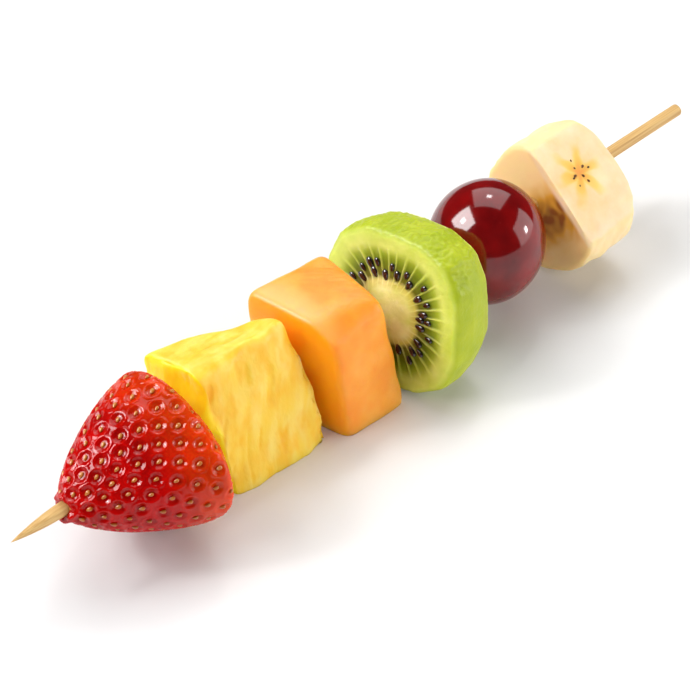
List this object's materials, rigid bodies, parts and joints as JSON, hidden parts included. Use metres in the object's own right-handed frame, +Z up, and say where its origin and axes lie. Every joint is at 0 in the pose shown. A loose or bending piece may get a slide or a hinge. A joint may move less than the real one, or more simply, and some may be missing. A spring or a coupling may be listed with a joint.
{
  "type": "fruit skewer",
  "caption": "Round bamboo skewer threaded with cut strawberry, pineapple, melon, kiwi, grape and banana, lying on its side as a small serving of fresh fruit.",
  "frame": {"origin": "middle of the footprint, on the surface that the skewer lies on: half way along the stick and across the fruit", "axes": "+X along the stick from its sharp tip to its blunt end, +Y to the left of that direction, +Z up"},
  "size_m": [0.203, 0.0374, 0.0362],
  "materials": {
    "bamboo": "smooth raw bamboo, straight fine grain",
    "strawberry": "wet, glossy, pitted with small golden seeds",
    "pineapple": "moist, fibrous cut flesh",
    "melon": "moist, smooth cut flesh",
    "kiwi": "wet cut flesh with rays and dark seeds",
    "grape": "smooth, very glossy skin",
    "banana": "soft, slightly moist peeled flesh"
  },
  "bodies": {
    "root": {"skewer": "bamboo", "strawberry": "strawberry", "pineapple": "pineapple", "melon": "melon", "kiwi": "kiwi", "grape": "grape", "banana": "banana"}
  },
  "joints": []
}
